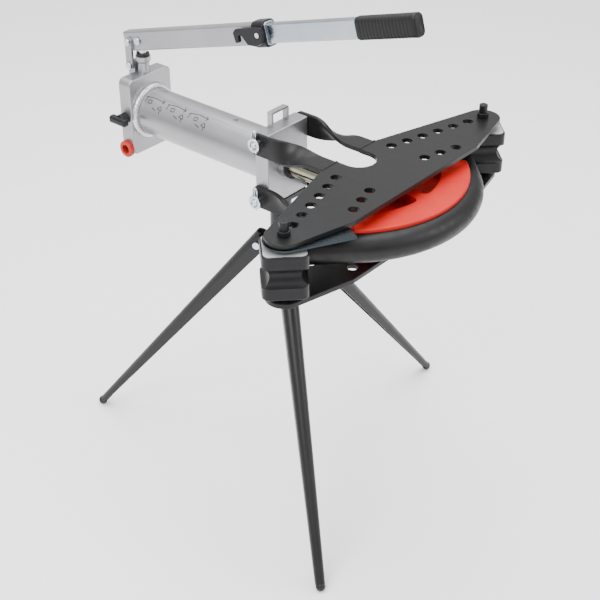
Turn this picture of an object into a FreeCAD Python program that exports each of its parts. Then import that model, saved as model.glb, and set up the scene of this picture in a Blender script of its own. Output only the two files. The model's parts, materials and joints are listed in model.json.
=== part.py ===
import FreeCAD, Part
import math
import os
import re
import Sketcher

# Manual hydraulic tube bender on a folding tripod, with a bent sample tube round its former.
# Frame: +X is the way the ram pushes, +Z is up, +Y is the wing on the ram's left hand.
# machine_x and machine_y place the machine's own reference, which lies on the ram's vertical plane
# and level with the innermost wing holes. Millimetres throughout.

V = FreeCAD.Vector
doc = FreeCAD.newDocument("TubeBender")

# ---------------------------------------------------------------- driving dimensions
DIMENSIONS = {
    # where the machine's reference stands in the object's frame, and the ram's height
    "machine_x": 234.79, "machine_y": -57.47, "axis_z": 799.0,
    # wing plates and their holes
    "plate_thk": 10.0, "plate_gap": 120.0, "wing_back_x": -41.0, "wing_front_x": 138.0,
    "wing_inner_y": 38.0, "strap_foot_y": 88.0, "wing_corner_y": 207.0, "wing_apex_x": 72.4,
    "wing_apex_y": 482.4, "wing_tip_rad": 38.0, "wing_corner_rad": 14.0, "notch_rad": 38.0, "notch_x": -15.0,
    "hole_first_y": 93.0, "hole_pitch": 40.0, "hole_sweep": 11.5, "hole_row_gap": 85.0, "hole_rad": 11.0,
    # end blocks and cylinder
    "block_half_y": 66.0, "front_x": -241.0, "front_thk": 36.0, "front_above": 85.0, "front_height": 170.0,
    "rear_x": -658.0, "rear_thk": 36.0, "rear_above": 90.0, "rear_height": 185.0, "block_round": 14.0,
    "tank_rad": 55.0, "tank_wall": 4.0, "barrel_rad": 38.0, "barrel_bore": 32.0, "seat_depth": 6.0,
    # ram group
    "ram_rad": 25.0, "gland_rad": 34.0, "gland_out": 15.0, "wiper_rad": 31.0, "wiper_thk": 6.0,
    "piston_len": 34.0, "ram_back_x": -300.0, "former_back_x": 20.0, "nose_len": 34.0, "nose_rad": 19.0,
    # former and sample tube
    "bend_rad": 258.0, "bend_x": -48.0, "former_thk": 76.0, "former_half_deg": 50.0,
    "tube_rad": 30.15, "tube_wall": 3.6, "tube_arm": 185.0, "tube_play": 0.25,
    # straps
    "strap_width": 50.0, "strap_thk": 10.0, "strap_end_x": -236.0, "strap_twist_from": -196.0,
    "strap_twist_to": -72.0, "strap_rise": 62.0, "hinge_pin_x": -223.0, "hinge_pin_rise": 68.0, "hinge_pin_rad": 8.0,
    # corner supports, their pins and the angle arm
    "support_half": 45.0, "support_height": 94.0, "support_round": 15.0, "groove_depth": 15.0,
    "support_turn": 45.0, "support_gap": 0.6, "hub_rad": 24.0, "pin_shank_rad": 10.95, "pin_collar_rad": 12.5,
    "pin_collar_h": 11.0, "pin_neck_rad": 9.5, "pin_top": 30.0, "arm_thk": 4.6, "arm_reach": 131.0,
    "arm_half": 42.0, "arm_angle": 62.0,
    # pump
    "pump_x": -640.0, "plunger_rad": 9.0, "pump_gland_rad": 13.5, "pump_gland_lip": 17.5,
    "link_x": -667.0, "link_foot_rise": 104.0, "link_len": 56.0, "link_half_y": 13.5, "link_thk": 6.0,
    "link_width": 20.0, "pin_out": 27.0, "pin_up": 8.0, "pin_rad": 5.0, "plunger_pin_rad": 5.95,
    "release_drop": 2.0, "filler_drop": 80.0,
    "lever_tilt": 16.4, "lever_depth": 46.0, "lever_width": 26.0, "lever_wall": 2.5, "lever_len": 408.0,
    "inner_depth": 40.8, "inner_width": 20.8, "inner_len": 526.0, "inner_from": 290.0,
    "grip_width": 29.0, "grip_depth": 46.5, "grip_len": 147.0,
    "collar_from": 400.0, "collar_len": 33.0, "cam_from": 424.0, "cam_up": 3.0,
    # tripod
    "hub_x": -227.0, "hub_turn": 20.0, "hub_post_rad": 24.0,
    "foot_reach": 502.0, "leg_top_reach": 50.0, "leg_top_z": 585.0,
    "leg_width_top": 42.0, "leg_width_foot": 22.0, "leg_depth_top": 42.0, "leg_depth_foot": 16.0, "leg_wall": 3.0,
    "foot_rad": 11.0,
}

dims = doc.addObject("Spreadsheet::Sheet", "dims")
for row, (alias, number) in enumerate(DIMENSIONS.items(), start=1):
    dims.set("A%d" % row, alias)
    dims.set("B%d" % row, repr(number))
    dims.setAlias("B%d" % row, alias)
doc.recompute()

FUNCTIONS = ("sin", "cos", "tan", "sqrt")
PARTS = {}


def size(alias):
    """A driving dimension, read from the sheet."""
    return float(dims.get(alias))


def ex(text):
    """An expression whose plain words are the sheet's aliases."""
    return re.sub(r"[a-z]\w*", lambda w: w.group(0) if w.group(0) in FUNCTIONS else "dims." + w.group(0), str(text))


def bind(obj, **sizes):
    """Bind each named size of an object to an expression of the sheet."""
    for name, text in sizes.items():
        obj.setExpression(name, ex(text))


def place(obj, x, y, z, turn=None):
    """Put an object at a point of the machine's own frame, each coordinate an expression."""
    if turn is not None:
        obj.Placement = FreeCAD.Placement(V(0, 0, 0), turn)
    bind(obj, **{"Placement.Base.x": "machine_x + (%s)" % x, "Placement.Base.y": "machine_y + (%s)" % y,
                 "Placement.Base.z": "axis_z + (%s)" % z})
    return obj


ALONG = {
    "Z": FreeCAD.Rotation(), "X": FreeCAD.Rotation(V(0, 1, 0), 90), "-Z": FreeCAD.Rotation(V(1, 0, 0), 180),
    "Y": FreeCAD.Rotation(V(1, 0, 0), -90), "-Y": FreeCAD.Rotation(V(1, 0, 0), 90),
}
serial = [0]


def new(kind, name="Piece"):
    serial[0] += 1
    return doc.addObject(kind, "%s%03d" % (name, serial[0]))


def rod(radius, length, x, y, z, along="Z", local=False):
    """A cylinder that starts at a point and runs along an axis."""
    obj = new("Part::Cylinder")
    bind(obj, Radius=radius, Height=length)
    return set_at(obj, x, y, z, ALONG[along], local)


def cone(radius_from, radius_to, length, x, y, z, along="Z", local=False):
    obj = new("Part::Cone")
    bind(obj, Radius1=radius_from, Radius2=radius_to, Height=length)
    return set_at(obj, x, y, z, ALONG[along], local)


def block(length, width, height, x, y, z, local=False):
    """A box from its lowest corner."""
    obj = new("Part::Box")
    bind(obj, Length=length, Width=width, Height=height)
    return set_at(obj, x, y, z, None, local)


def ball(radius, x, y, z, local=False):
    obj = new("Part::Sphere")
    bind(obj, Radius=radius)
    return set_at(obj, x, y, z, None, local)


def set_at(obj, x, y, z, turn, local):
    """Place an object in the machine's frame, or, when local, in a group's own frame."""
    if not local:
        return place(obj, x, y, z, turn)
    if turn is not None:
        obj.Placement = FreeCAD.Placement(V(0, 0, 0), turn)
    bind(obj, **{"Placement.Base.x": x, "Placement.Base.y": y, "Placement.Base.z": z})
    return obj


def fuse(*pieces):
    obj = new("Part::MultiFuse", "Joined")
    obj.Shapes = list(pieces)
    obj.Refine = True
    return obj


def cut(base, *tools):
    obj = new("Part::Cut", "Cut")
    obj.Base = base
    obj.Tool = tools[0] if len(tools) == 1 else fuse(*tools)
    return obj


def ring(outer, inner, length, x, y, z, along="Z", local=False):
    """A tube. Its bore runs the whole length."""
    return cut(rod(outer, length, x, y, z, along, local), rod(inner, length, x, y, z, along, local))


def group(*pieces):
    """Separate solids that share one node."""
    obj = new("Part::Compound", "Group")
    obj.Links = list(pieces)
    return obj


def rounded(base, radius, chosen, kind="Part::Fillet"):
    """Fillet or chamfer the edges that chosen(edge) picks."""
    doc.recompute()
    numbers = [n for n, edge in enumerate(base.Shape.Edges, start=1) if chosen(edge)]
    if not numbers:
        raise ValueError("no edge to round on " + base.Name)
    obj = new(kind, "Rounded")
    obj.Base = base
    obj.Edges = [(n, radius, radius) for n in numbers]
    return obj


def straight(edge, direction):
    """Is the edge a straight line along this direction?"""
    if edge.Curve.TypeId != "Part::GeomLine":
        return False
    return abs(abs(edge.Curve.Direction.dot(direction)) - 1) < 1e-6


def circle_of(edge, radius, tolerance=0.05):
    return edge.Curve.TypeId == "Part::GeomCircle" and abs(edge.Curve.Radius - radius) < tolerance


def keep(obj, label):
    """Name a finished sub-part."""
    obj.Label = label
    PARTS[label] = obj
    return obj


def moved(obj, x, y, z, turn):
    """Carry a group-frame solid to its place in the machine's frame."""
    return place(obj, x, y, z, turn)


def feature(shape, label):
    obj = new("Part::Feature", "Shape")
    obj.Shape = shape
    return keep(obj, label)


def plane_of(body, role):
    return [item for item in body.Origin.OriginFeatures if item.Role == role][0]


def sketch_on(body, role):
    sketch = body.newObject("Sketcher::SketchObject", "Sketch")
    sketch.AttachmentSupport = [(plane_of(body, role), "")]
    sketch.MapMode = "FlatFace"
    return sketch


def draw_outline(sketch, corners):
    """A closed outline of straight lines, each corner bound to two expressions."""
    count = len(corners)
    angles = [2 * math.pi * n / count for n in range(count)]
    start = [V(50 * math.cos(angle), 50 * math.sin(angle), 0) for angle in angles]
    first = len(sketch.Geometry)
    for n in range(count):
        sketch.addGeometry(Part.LineSegment(start[n], start[(n + 1) % count]), False)
    for n in range(count):
        sketch.addConstraint(Sketcher.Constraint("Coincident", first + n, 2, first + (n + 1) % count, 1))
    for n, corner in enumerate(corners):
        for kind, text in zip(("DistanceX", "DistanceY"), corner):
            value = start[n].x if kind == "DistanceX" else start[n].y
            index = sketch.addConstraint(Sketcher.Constraint(kind, first + n, 1, value))
            sketch.setExpression("Constraints[%d]" % index, ex(text))


def draw_circle(sketch, radius, x, y):
    """A circle bound to three expressions."""
    number = sketch.addGeometry(Part.Circle(V(10, 10, 0), V(0, 0, 1), 5), False)
    for constraint, text in ((Sketcher.Constraint("Radius", number, 5), radius),
                             (Sketcher.Constraint("DistanceX", number, 3, 10), x),
                             (Sketcher.Constraint("DistanceY", number, 3, 10), y)):
        index = sketch.addConstraint(constraint)
        sketch.setExpression("Constraints[%d]" % index, ex(text))


# ---------------------------------------------------------------- wing plates
SIDES = (("left", -1), ("right", 1))


def hole_places():
    """Expressions for every hole of one wing plate: two swept rows and a short row in front, each side."""
    for side in (-1, 1):
        for step in range(7):
            yield "%d * hole_sweep" % step, "%d * (hole_first_y + %d * hole_pitch)" % (side, step)
        for step in range(3):
            yield "%d * hole_sweep + hole_row_gap" % step, "%d * (hole_first_y + %d * hole_pitch)" % (side, step)


def wing_plate(label, z):
    body = doc.addObject("PartDesign::Body", "WingPlate")
    outline = sketch_on(body, "XY_Plane")
    draw_outline(outline, [
        ("wing_back_x", "-strap_foot_y"), ("wing_apex_x", "-wing_apex_y"), ("wing_front_x", "-wing_corner_y"),
        ("wing_front_x", "wing_corner_y"), ("wing_apex_x", "wing_apex_y"), ("wing_back_x", "strap_foot_y"),
        ("wing_back_x", "notch_rad"), ("notch_x", "notch_rad"), ("notch_x", "-notch_rad"),
        ("wing_back_x", "-notch_rad")])
    pad = body.newObject("PartDesign::Pad", "Plate")
    pad.Profile = outline
    bind(pad, Length="plate_thk")
    doc.recompute()
    before = pad.Shape.Volume
    holes = sketch_on(body, "XY_Plane")
    draw_circle(holes, "notch_rad", "notch_x", "0")
    for x, y in hole_places():
        draw_circle(holes, "hole_rad", x, y)
    pocket = body.newObject("PartDesign::Pocket", "Holes")
    pocket.Profile = holes
    pocket.Type = "ThroughAll"
    pocket.Reversed = True
    doc.recompute()
    if pocket.Shape.Volume > before - 10000:
        raise ValueError("the wing plate's holes cut nothing")
    for radius, corner_y, corner_x in (("wing_tip_rad", "wing_apex_y", "wing_apex_x"),
                                       ("wing_corner_rad", "wing_corner_y", "wing_front_x")):
        base = body.Tip
        names = []
        for n, edge in enumerate(base.Shape.Edges, start=1):
            at = edge.Vertexes[0].Point
            near = abs(abs(at.y) - size(corner_y)) < 0.01 and abs(at.x - size(corner_x)) < 0.01
            if straight(edge, V(0, 0, 1)) and near:
                names.append("Edge%d" % n)
        fillet = body.newObject("PartDesign::Fillet", "Corner")
        fillet.Base = (base, names)
        bind(fillet, Radius=radius)
        doc.recompute()
    rims = []
    for n, edge in enumerate(body.Tip.Shape.Edges, start=1):
        level = abs(edge.Vertexes[0].Point.z - edge.Vertexes[-1].Point.z) < 0.01
        if level and abs(edge.BoundBox.Center.y) > size("notch_rad"):
            rims.append("Edge%d" % n)
    base = body.Tip
    chamfer = body.newObject("PartDesign::Chamfer", "BrokenEdges")
    chamfer.Base = (base, rims)
    chamfer.Size = 0.6
    body.Tip = chamfer
    place(body, "0", "0", z)
    keep(body, label)


wing_plate("upper_wing_plate", "plate_gap / 2")
wing_plate("lower_wing_plate", "-plate_gap / 2 - plate_thk")


# ---------------------------------------------------------------- twisted straps
def strap_section(x, y, z, angle):
    """The strap's rounded rectangle at one station; angle 0 stands on edge, 90 lies flat."""
    half_wide, half_thick, corner = size("strap_width") / 2, size("strap_thk") / 2, 1.5
    turn = math.radians(angle)
    flat = [(-half_wide + corner, -half_thick), (half_wide - corner, -half_thick), (half_wide, -half_thick + corner),
            (half_wide, half_thick - corner), (half_wide - corner, half_thick), (-half_wide + corner, half_thick),
            (-half_wide, half_thick - corner), (-half_wide, -half_thick + corner)]
    points = []
    for wide, thick in flat:
        across = wide * math.sin(turn) + thick * math.cos(turn)
        up = wide * math.cos(turn) - thick * math.sin(turn)
        points.append(V(x, y + across, z + up))
    return Part.makePolygon(points + points[:1])


def twisted_strap(label, side, level):
    """side is -1 or 1 across the ram, level is 1 for the upper plate and -1 for the lower."""
    x0, y0, z0 = size("machine_x"), size("machine_y"), size("axis_z")
    end, start, finish, foot = (size(a) for a in ("strap_end_x", "strap_twist_from", "strap_twist_to", "wing_back_x"))
    y_block = size("block_half_y") + size("strap_thk") / 2
    y_foot = (size("wing_inner_y") + size("strap_foot_y")) / 2
    z_block = size("strap_rise")
    z_foot = size("plate_gap") / 2 + size("plate_thk") / 2

    def station(x, part):
        y = y0 + side * (y_block + (y_foot - y_block) * part)
        z = z0 + level * (z_block + (z_foot - z_block) * part)
        return strap_section(x0 + x, y, z, -side * level * 90 * part)

    steps = 12
    sections = []
    for n in range(steps + 1):
        ratio = n / steps
        ease = ratio * ratio * (3 - 2 * ratio)
        sections.append(station(start + (finish - start) * ratio, ease))
    twist = Part.makeLoft(sections, True, False)
    back = Part.makeLoft([station(end, 0), station(start, 0)], True, True)
    front = Part.makeLoft([station(finish, 1), station(foot, 1)], True, True)
    shape = back.fuse([twist, front])
    nose = Part.makeCylinder(size("strap_width") / 2, 40,
                             V(x0 + end + 25 - 14, y0 + side * y_block - 20, z0 + level * z_block),
                             V(0, 1, 0))
    keep_zone = nose.fuse(Part.makeBox(400, 80, 160, V(x0 + end + 25 - 14, y0 + side * y_block - 40,
                                                       z0 + level * z_block - 80)))
    shape = shape.common(keep_zone)
    eye = Part.makeCylinder(size("hinge_pin_rad") + 0.05, 40, V(x0 + size("hinge_pin_x"), y0 + side * y_block - 20,
                            z0 + level * size("hinge_pin_rise")), V(0, 1, 0))
    feature(shape.cut(eye).removeSplitter(), label)


for side_name, side in SIDES:
    twisted_strap("upper_strap_" + side_name, side, 1)
    twisted_strap("lower_strap_" + side_name, side, -1)

# ---------------------------------------------------------------- front block, gland and lifting bracket
ACROSS = V(0, 1, 0)
UP = V(0, 0, 1)
FORWARD = V(1, 0, 0)


HUB_BOLTS = [("hinge_pin_x + %d" % dx, str(dy)) for dx in (-13, 13) for dy in (-46, 46)]


def front_block():
    body = block("front_thk", "2 * block_half_y", "front_height",
                 "front_x", "-block_half_y", "front_above - front_height")
    soft = rounded(body, 2.5, lambda edge: edge.Curve.TypeId == "Part::GeomLine")
    bore = rod("gland_rad", "front_thk", "front_x", "0", "0", "X")
    seat = rod("tank_rad - tank_wall", "seat_depth", "front_x", "0", "0", "X")
    pins = [rod("hinge_pin_rad + 0.05", "2 * block_half_y", "hinge_pin_x", "-block_half_y",
                "%d * hinge_pin_rise" % level, "Y")
            for level in (1, -1)]
    bolts = [rod("4.2", "18", x, y, "front_above - front_height") for x, y in HUB_BOLTS]
    return keep(cut(soft, bore, seat, *pins, *bolts), "front_block")


front_block()
keep(ring("gland_rad", "ram_rad + 0.05", "front_thk - seat_depth + gland_out", "front_x + seat_depth", "0", "0", "X"),
     "ram_gland_bush")
keep(ring("wiper_rad", "ram_rad + 0.05", "wiper_thk", "front_x + front_thk + gland_out", "0", "0", "X"),
     "ram_wiper_ring")


def lifting_bracket():
    """A flat strip bent into a staple and welded on the block's top, rear edge."""
    thick, wide, low, high = "4", "14", "front_above", "33"
    bar = block(wide, "54", high, "front_x + 1.5", "-27", low)
    hole = block(wide, "54 - 2 * " + thick, high + " - " + thick, "front_x + 1.5", "-27 + " + thick, low)
    bent = rounded(cut(bar, hole), 3.0,
                   lambda edge: straight(edge, FORWARD) and edge.Vertexes[0].Point.z > size("axis_z") + 110
                   and abs(abs(edge.Vertexes[0].Point.y - size("machine_y")) - 27) < 0.01)
    return keep(bent, "lifting_bracket")


lifting_bracket()

# ---------------------------------------------------------------- hinge pins and their clips
for level_name, level in (("upper", 1), ("lower", -1)):
    shank_len = "2 * block_half_y + 2 * strap_thk + 13"
    low_y = "-block_half_y - strap_thk - 13"
    rise = "%d * hinge_pin_rise" % level
    shank = rod("hinge_pin_rad", shank_len, "hinge_pin_x", low_y, rise, "Y")
    tip = cone("hinge_pin_rad - 2.5", "hinge_pin_rad", "3", "hinge_pin_x", low_y + " - 3", rise, "Y")
    head = rod("12", "8", "hinge_pin_x", "block_half_y + strap_thk", rise, "Y")
    outer_y = size("machine_y") + size("block_half_y") + size("strap_thk") + 7
    soft_head = rounded(head, 1.5, lambda edge: circle_of(edge, 12) and edge.Vertexes[0].Point.y > outer_y)
    cross_hole = rod("2.2", "40", "hinge_pin_x", "-block_half_y - strap_thk - 7", rise + " - 20")
    keep(cut(fuse(shank, tip, soft_head), cross_hole), level_name + "_hinge_pin")


def spring_clip(level):
    """A hairpin clip: one leg down through the pin, the other down its outside with a turned-out end."""
    wire, pin, bow = 1.9, size("hinge_pin_rad"), 5.3
    x = size("machine_x") + size("hinge_pin_x")
    y = size("machine_y") - size("block_half_y") - size("strap_thk") - 7
    z = size("axis_z") + level * size("hinge_pin_rise")
    top, low, tail = z + pin + 16, z - pin - 4, 7.0
    inner = Part.makeCylinder(wire, top - low + 10, V(x, y, low - 10))
    outer = Part.makeCylinder(wire, top - low, V(x - 2 * bow, y, low))
    loop = Part.makeTorus(bow, wire, V(x - bow, y, top), V(0, -1, 0), -180, 180, 180)
    loop.rotate(V(x - bow, y, top), V(0, 1, 0), -90)
    end = Part.makeTorus(tail, wire, V(x - 2 * bow - tail, y, low), V(0, 1, 0), -180, 180, 70)
    end.rotate(V(x - 2 * bow - tail, y, low), V(0, 1, 0), 90)
    return inner.fuse([outer, loop, end])


feature(Part.makeCompound([spring_clip(level) for level in (1, -1)]), "hinge_pin_clips")

# ---------------------------------------------------------------- cylinder and pump block
keep(ring("tank_rad", "tank_rad - tank_wall", "front_x - rear_x - rear_thk", "rear_x + rear_thk", "0", "0", "X"),
     "cylinder_tube")
keep(ring("barrel_rad", "barrel_bore", "front_x + seat_depth - rear_x - rear_thk + seat_depth",
          "rear_x + rear_thk - seat_depth", "0", "0", "X"), "pressure_barrel")


def weld_bead(label, x, length, grow):
    """The fillet weld where the tank meets an end block."""
    bead = cone("tank_rad + %s" % grow[0], "tank_rad + %s" % grow[1], length, x, "0", "0", "X")
    return keep(cut(bead, rod("tank_rad", length, x, "0", "0", "X")), label)


weld_bead("rear_weld", "rear_x + rear_thk", "9", ("7.5", "0.4"))
weld_bead("front_weld", "front_x - 5", "5", ("0.4", "4"))


def pump_block():
    body = block("rear_thk", "2 * block_half_y", "rear_height", "rear_x", "-block_half_y", "rear_above - rear_height")
    corners = rounded(body, size("block_round"), lambda edge: straight(edge, FORWARD))
    soft = rounded(corners, 3.0, lambda edge: not straight(edge, FORWARD))
    lug = block("20", "2 * link_half_y - 1", "link_foot_rise - rear_above + 19", "link_x - 10", "-link_half_y + 0.5",
                "rear_above - 9")
    lug_soft = rounded(lug, 9.0, lambda edge: straight(edge, ACROSS)
                       and edge.Vertexes[0].Point.z > size("axis_z") + 100)
    lug_base = block("26", "2 * link_half_y - 1", "30", "link_x - 10", "-link_half_y + 0.5", "rear_above - 30")
    lug_eye = rod("pin_rad + 0.05", "80", "link_x", "-40", "link_foot_rise", "Y")
    plunger_bore = rod("plunger_rad + 0.05", "rear_above + 2", "pump_x", "0", "-2")
    gland_seat = rod("pump_gland_rad - 3", "20", "pump_x", "0", "rear_above - 20")
    valve_well = rod("5.5", "16", "pump_x", "0", "-18")
    oil_port = rod("3", "30", "pump_x", "0", "-18", "X")
    release_bore = rod("6.05", "60", "pump_x", "-block_half_y", "-release_drop", "Y")
    release_mouth = rod("9", "12", "pump_x", "-block_half_y", "-release_drop", "Y")
    filler_bore = rod("12", "24", "pump_x", "-block_half_y", "-filler_drop", "Y")
    suction_way = rod("3", "filler_drop - 10", "pump_x", "0", "-filler_drop")
    barrel_seat = rod("barrel_rad", "seat_depth", "rear_x + rear_thk - seat_depth", "0", "0", "X")
    solid = fuse(soft, lug_soft, lug_base)
    return keep(cut(solid, lug_eye, plunger_bore, gland_seat, valve_well, oil_port, release_bore,
                    release_mouth, filler_bore, suction_way, barrel_seat), "pump_block")


pump_block()

# the suction check ball lies on the rim of the oil way, at the bottom of the valve well
keep(ball("4.5", "pump_x", "0", "-18 + sqrt(4.5 * 4.5 - 3 * 3) + 0.05"), "suction_valve_ball")


def filler_plug():
    """A screwed plug with a raised ring round a deep recess."""
    stem = rod("11.9", "16", "pump_x", "-block_half_y", "-filler_drop", "Y")
    flange = rounded(rod("20", "10", "pump_x", "-block_half_y - 10", "-filler_drop", "Y"), 2.8,
                     lambda edge: circle_of(edge, 20) and edge.Vertexes[0].Point.y < size("machine_y") - 70)
    recess = rod("11", "12", "pump_x", "-block_half_y - 10", "-filler_drop", "Y")
    socket = rod("5", "6", "pump_x", "-block_half_y + 2", "-filler_drop", "Y")
    return keep(cut(fuse(stem, flange), recess, socket), "filler_plug")


filler_plug()
keep(fuse(rod("5", "5", "-355", "0", "tank_rad - 1"),
          rod("3", "tank_wall + 2", "-355", "0", "tank_rad - tank_wall - 1")),
     "vent_screw")
vent_hole = rod("3.05", "20", "-355", "0", "tank_rad - 12")
tank = cut(PARTS["cylinder_tube"], vent_hole, rod("5.05", "8", "-355", "0", "tank_rad - 1"))
keep(tank, "cylinder_tube")

# ---------------------------------------------------------------- release valve
keep(fuse(rod("6", "60", "pump_x", "-block_half_y - 22", "-release_drop", "Y"),
          cone("6", "2.2", "6", "pump_x", "-block_half_y + 38", "-release_drop", "Y")), "release_spindle")
keep(ring("8.9", "6.05", "11", "pump_x", "-block_half_y + 0.5", "-release_drop", "Y"), "release_gland")


def release_knob():
    """A moulded knob on the spindle's end: a round boss and a cross bar to turn it by."""
    boss = rounded(rod("13", "21", "pump_x", "-block_half_y - 22", "-release_drop", "Y"), 2.0,
                   lambda edge: circle_of(edge, 13))
    bar = block("52", "18", "18", "pump_x - 26", "-block_half_y - 32", "-release_drop - 9")
    bar_soft = rounded(bar, 6.0, lambda edge: True)
    socket = rod("6", "22", "pump_x", "-block_half_y - 22", "-release_drop", "Y")
    return keep(cut(fuse(boss, bar_soft), socket), "release_knob")


release_knob()

# ---------------------------------------------------------------- pump plunger
GLAND_NECK = "rear_above + 24"
FULCRUM = "link_foot_rise + link_len"
keep(cut(fuse(rod("pump_gland_rad", "24", "pump_x", "0", "rear_above"),
              cone("pump_gland_rad", "pump_gland_lip", "6", "pump_x", "0", GLAND_NECK),
              rod("pump_gland_lip", "10", "pump_x", "0", GLAND_NECK + " + 6"),
              rod("pump_gland_rad - 3", "20", "pump_x", "0", "rear_above - 20")),
         rod("plunger_rad + 0.05", "80", "pump_x", "0", "rear_above - 25")), "pump_gland")
keep(ring("15", "plunger_rad + 0.05", "6", "pump_x", "0", GLAND_NECK + " + 16"), "plunger_wiper")


def pump_plunger():
    """A ground rod with a flat-sided head for the lever's pin."""
    eye_z = FULCRUM + " + pin_up"
    shaft = rod("plunger_rad", eye_z + " - 36", "pump_x", "0", "26")
    head = block("20", "18", "22", "pump_x - 10", "-9", eye_z + " - 11")
    hole = rod("plunger_pin_rad + 0.05", "60", "pump_x", "-30", eye_z, "Y")
    top = rounded(head, 8.0, lambda edge: straight(edge, ACROSS))
    return keep(cut(fuse(shaft, top), hole), "pump_plunger")


def headed_pin(label, radius, half_length, head, x, z):
    """A cross pin with a domed head at each end."""
    shank = rod(radius, "2 * (%s)" % half_length, x, "-(%s)" % half_length, z, "Y")
    heads = [rounded(rod(head, "5", x, y, z, "Y"), 2.0, lambda edge: edge.Curve.TypeId == "Part::GeomCircle")
             for y in ("-(%s) - 5" % half_length, half_length)]
    return keep(fuse(shank, *heads), label)


pump_plunger()
headed_pin("plunger_pin", "plunger_pin_rad", "lever_width / 2 + 0.5", "9", "pump_x", FULCRUM + " + pin_up")
headed_pin("fulcrum_pin", "pin_rad", "link_half_y + link_thk + 0.3", "8.5", "link_x", FULCRUM)
headed_pin("link_foot_pin", "pin_rad", "link_half_y + link_thk + 0.3", "8.5", "link_x", "link_foot_rise")

# ---------------------------------------------------------------- fulcrum links
for side_name, side in SIDES:
    low_y = "link_half_y" if side > 0 else "-link_half_y - link_thk"
    plate = block("link_width", "link_thk", "link_len + 20", "link_x - link_width / 2", low_y, "link_foot_rise - 10")
    ends = rounded(plate, 9.6, lambda edge: straight(edge, ACROSS))
    holes = [rod("pin_rad + 0.05", "80", "link_x", "-40", rise, "Y") for rise in ("link_foot_rise", FULCRUM)]
    keep(cut(ends, *holes), "fulcrum_link_" + side_name)

# ---------------------------------------------------------------- pump lever, in its own frame along +X
LEVER_TURN = FreeCAD.Rotation(V(0, 1, 0), -size("lever_tilt"))
LEVER_AT = ("link_x", "0", FULCRUM)


def on_lever(obj, label):
    return keep(moved(obj, *LEVER_AT, LEVER_TURN), label)


def flat_bar(length, width, depth, start, corner):
    """A solid bar with rounded long edges, centred on the lever's own X axis."""
    bar = block(length, width, depth, start, "-(%s) / 2" % width, "-(%s) / 2" % depth, True)
    return rounded(bar, corner, lambda edge: straight(edge, FORWARD))


def outer_tube():
    """Flat rectangular tube, open below at the fulcrum end, where the plunger's head enters."""
    outside = flat_bar("lever_len + 16", "lever_width", "lever_depth", "-16", 5.0)
    inside_width = "lever_width - 2 * lever_wall"
    inside = flat_bar("lever_len + 16", inside_width, "lever_depth - 2 * lever_wall", "-16", 3.0)
    mouth = block("68", inside_width, "20", "-20", "-(%s) / 2" % inside_width, "-lever_depth / 2 - 4", True)
    pivot = rod("pin_rad + 0.05", "80", "0", "-40", "0", "Y", True)
    slot = rod("plunger_pin_rad + 1.8", "80", "pin_out * cos(lever_tilt) + pin_up * sin(lever_tilt)", "-40",
               "pin_up * cos(lever_tilt) - pin_out * sin(lever_tilt)", "Y", True)
    return on_lever(cut(outside, inside, mouth, pivot, slot), "lever_outer_tube")


outer_tube()


def clamp_collar():
    """A moulded clamp that caps the outer tube's end and grips the inner tube."""
    body = flat_bar("collar_len", "lever_width + 14", "lever_depth + 10", "collar_from", 12.0)
    face = rounded(body, 2.0, lambda edge: not straight(edge, FORWARD))
    tube_seat = flat_bar("lever_len - collar_from", "lever_width", "lever_depth", "collar_from", 5.0)
    bore = flat_bar("collar_len + 20", "inner_width + 0.2", "inner_depth + 0.2", "collar_from - 10", 3.0)
    pin_hole = rod("3.05", "7", "cam_from", "-lever_width / 2 - 9", "cam_up", "Y", True)
    return on_lever(cut(face, tube_seat, bore, pin_hole), "clamp_collar")


clamp_collar()
on_lever(fuse(rod("3", "16", "cam_from", "-lever_width / 2 - 18", "cam_up", "Y", True),
              rod("5.5", "2", "cam_from", "-lever_width / 2 - 18.8", "cam_up", "Y", True)), "clamp_cam_pin")


def clamp_lever():
    """The cam lever on the collar's flank, that lies back along the tube and ends in a thumb hook."""
    body = doc.addObject("PartDesign::Body", "ThumbLever")
    outline = sketch_on(body, "XZ_Plane")
    draw_outline(outline, [("14", "0"), ("6", "-18"), ("-10", "-24"), ("-34", "-20"), ("-48", "2"), ("-56", "2"),
                           ("-58", "-14"), ("-68", "-14"), ("-70", "8"), ("-62", "15"), ("-10", "16"), ("8", "14")])
    eye = sketch_on(body, "XZ_Plane")
    pad = body.newObject("PartDesign::Pad", "Plate")
    pad.Profile = outline
    pad.Length = 9.0
    draw_circle(eye, "3.05", "0", "0")
    pocket = body.newObject("PartDesign::Pocket", "Eye")
    pocket.Profile = eye
    pocket.Type = "ThroughAll"
    pocket.Midplane = True
    doc.recompute()
    soft = rounded(body, 3.2, lambda edge: straight(edge, ACROSS) and edge.Length < 9.5)
    edges = rounded(soft, 1.2, lambda edge: abs(edge.Vertexes[0].Point.y - edge.Vertexes[-1].Point.y) < 0.01
                    and not circle_of(edge, 3.05))
    carrier = group(edges)
    x, _, z = LEVER_AT
    eye_x = x + " + cam_from * cos(lever_tilt) - cam_up * sin(lever_tilt)"
    eye_z = z + " + cam_from * sin(lever_tilt) + cam_up * cos(lever_tilt)"
    return keep(moved(carrier, eye_x, "-lever_width / 2 - 7.4", eye_z, LEVER_TURN), "clamp_lever")


clamp_lever()
on_lever(cut(flat_bar("inner_len", "inner_width", "inner_depth", "inner_from", 3.0),
             flat_bar("inner_len", "inner_width - 5", "inner_depth - 5", "inner_from", 1.5)), "lever_inner_tube")


def hand_grip():
    """A moulded rubber sleeve with a closed end."""
    start = "inner_from + inner_len - grip_len + 4"
    sleeve = flat_bar("grip_len", "grip_width", "grip_depth", start, 11.0)
    soft = rounded(sleeve, 3.0, lambda edge: not straight(edge, FORWARD))
    return on_lever(cut(soft, flat_bar("grip_len - 4", "inner_width", "inner_depth", start, 3.0)), "hand_grip")


hand_grip()

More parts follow.
